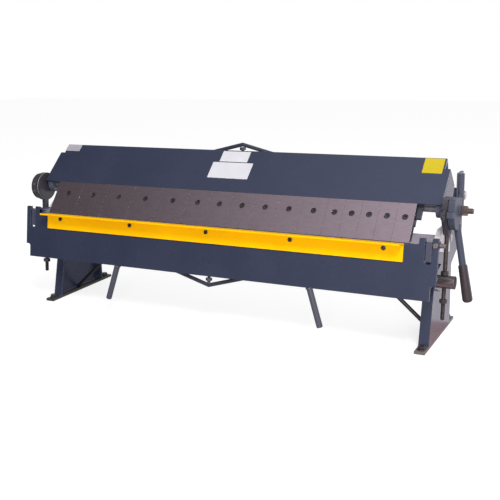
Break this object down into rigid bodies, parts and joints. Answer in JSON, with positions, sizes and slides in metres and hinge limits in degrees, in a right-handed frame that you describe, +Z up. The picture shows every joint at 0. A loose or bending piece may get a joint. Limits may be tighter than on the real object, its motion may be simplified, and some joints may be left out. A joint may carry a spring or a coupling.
{
  "type": "box and pan brake",
  "caption": "Bench-top box and pan brake with clamping fingers on a lifting beam, an eccentric clamp lever and a swinging apron with an angle bar",
  "frame": {"origin": "on the floor, at the middle of the four foot bolt holes", "axes": "+X along the bend to the machine's right, -Y to the front, +Z up"},
  "size_m": [1.4808, 0.4622, 0.5332],
  "materials": {
    "blue_paint": "glossy slate blue machine paint",
    "yellow_paint": "bright safety yellow paint",
    "black_paint": "black paint on round bar",
    "dark_paint": "dark blue grey paint, slightly glossy",
    "finger_steel": "ground steel with a warm grey tone",
    "bare_steel": "bright machined steel",
    "dark_steel": "dark oiled steel",
    "black_screws": "blackened screws",
    "grip_rubber": "near-black moulded grip"
  },
  "bodies": {
    "frame": {"side_frame_left": "blue_paint", "side_frame_right": "blue_paint", "bed": "blue_paint", "hinge_arm_left": "blue_paint", "hinge_arm_right": "blue_paint", "leg_braces": "black_paint", "frame_bolts": "bare_steel"},
    "beam": {"beam_front_plate": "blue_paint", "beam_back_plate": "blue_paint", "beam_end_plate_left": "blue_paint", "beam_end_plate_right": "blue_paint", "beam_arm_left": "blue_paint", "beam_arm_right": "blue_paint", "shaft_bearings": "blue_paint", "beam_truss_rod": "dark_paint", "beam_truss_post": "dark_paint", "finger_clamp_bar": "dark_paint", "finger_01": "finger_steel", "finger_02": "finger_steel", "finger_03": "finger_steel", "finger_04": "finger_steel", "finger_05": "finger_steel", "finger_06": "finger_steel", "finger_07": "finger_steel", "finger_08": "finger_steel", "finger_09": "finger_steel", "finger_10": "finger_steel", "finger_11": "finger_steel", "finger_12": "finger_steel", "finger_13": "finger_steel", "finger_14": "finger_steel", "finger_15": "finger_steel", "finger_16": "finger_steel", "finger_screws": "black_screws"},
    "shaft": {"clamp_shaft": "dark_steel", "eccentric_left": "dark_steel", "eccentric_right": "dark_steel", "clamp_lever": "blue_paint", "lever_grip": "grip_rubber", "shaft_nut": "dark_steel"},
    "link_left": {"strap_cap_left": "dark_paint", "strap_base_left": "dark_paint", "link_rod_left": "dark_steel", "link_fasteners_left": "dark_steel"},
    "link_right": {"strap_cap_right": "dark_paint", "strap_base_right": "dark_paint", "link_rod_right": "dark_steel", "link_fasteners_right": "dark_steel"},
    "trunnion_left": {"trunnion_left": "dark_steel"},
    "trunnion_right": {"trunnion_right": "dark_steel"},
    "apron": {"apron_plate": "blue_paint", "apron_ear_left": "blue_paint", "apron_ear_right": "blue_paint", "hinge_pins": "bare_steel", "apron_bar": "yellow_paint", "apron_bar_screws": "black_screws", "apron_truss_rod": "dark_paint", "apron_truss_post": "dark_paint", "apron_handle_left": "dark_paint", "apron_handle_right": "dark_paint"}
  },
  "joints": [
    {"name": "beam_lift", "type": "hinge", "parent": "frame", "child": "beam", "pos_m": [0, 0.216, 0.376], "axis": [-1, 0, 0], "range_deg": [0, 7]},
    {"name": "shaft_turn", "type": "hinge", "parent": "beam", "child": "shaft", "pos_m": [0, -0.06, 0.386], "axis": [1, 0, 0], "range_deg": [0, 80]},
    {"name": "link_left_swing", "type": "hinge", "parent": "shaft", "child": "link_left", "pos_m": [-0.6905, -0.08364, 0.38183], "axis": [-1, 0, 0], "range_deg": [0, 78.7]},
    {"name": "link_right_swing", "type": "hinge", "parent": "shaft", "child": "link_right", "pos_m": [0.6905, -0.08364, 0.38183], "axis": [-1, 0, 0], "range_deg": [0, 78.7]},
    {"name": "trunnion_left_swing", "type": "hinge", "parent": "frame", "child": "trunnion_left", "pos_m": [-0.6905, -0.102, 0.195], "axis": [-1, 0, 0], "range_deg": [0, 5.75]},
    {"name": "trunnion_right_swing", "type": "hinge", "parent": "frame", "child": "trunnion_right", "pos_m": [0.6905, -0.102, 0.195], "axis": [-1, 0, 0], "range_deg": [0, 5.75]},
    {"name": "apron_swing", "type": "hinge", "parent": "frame", "child": "apron", "pos_m": [0, -0.171, 0.312], "axis": [-1, 0, 0], "range_deg": [0, 115]}
  ],
  "couplings": [
    {"joint": "shaft_turn", "follows": "beam_lift", "ratio": 11.42},
    {"joint": "link_left_swing", "follows": "beam_lift", "ratio": 11.24},
    {"joint": "link_right_swing", "follows": "beam_lift", "ratio": 11.24},
    {"joint": "trunnion_left_swing", "follows": "beam_lift", "ratio": 0.82},
    {"joint": "trunnion_right_swing", "follows": "beam_lift", "ratio": 0.82}
  ]
}
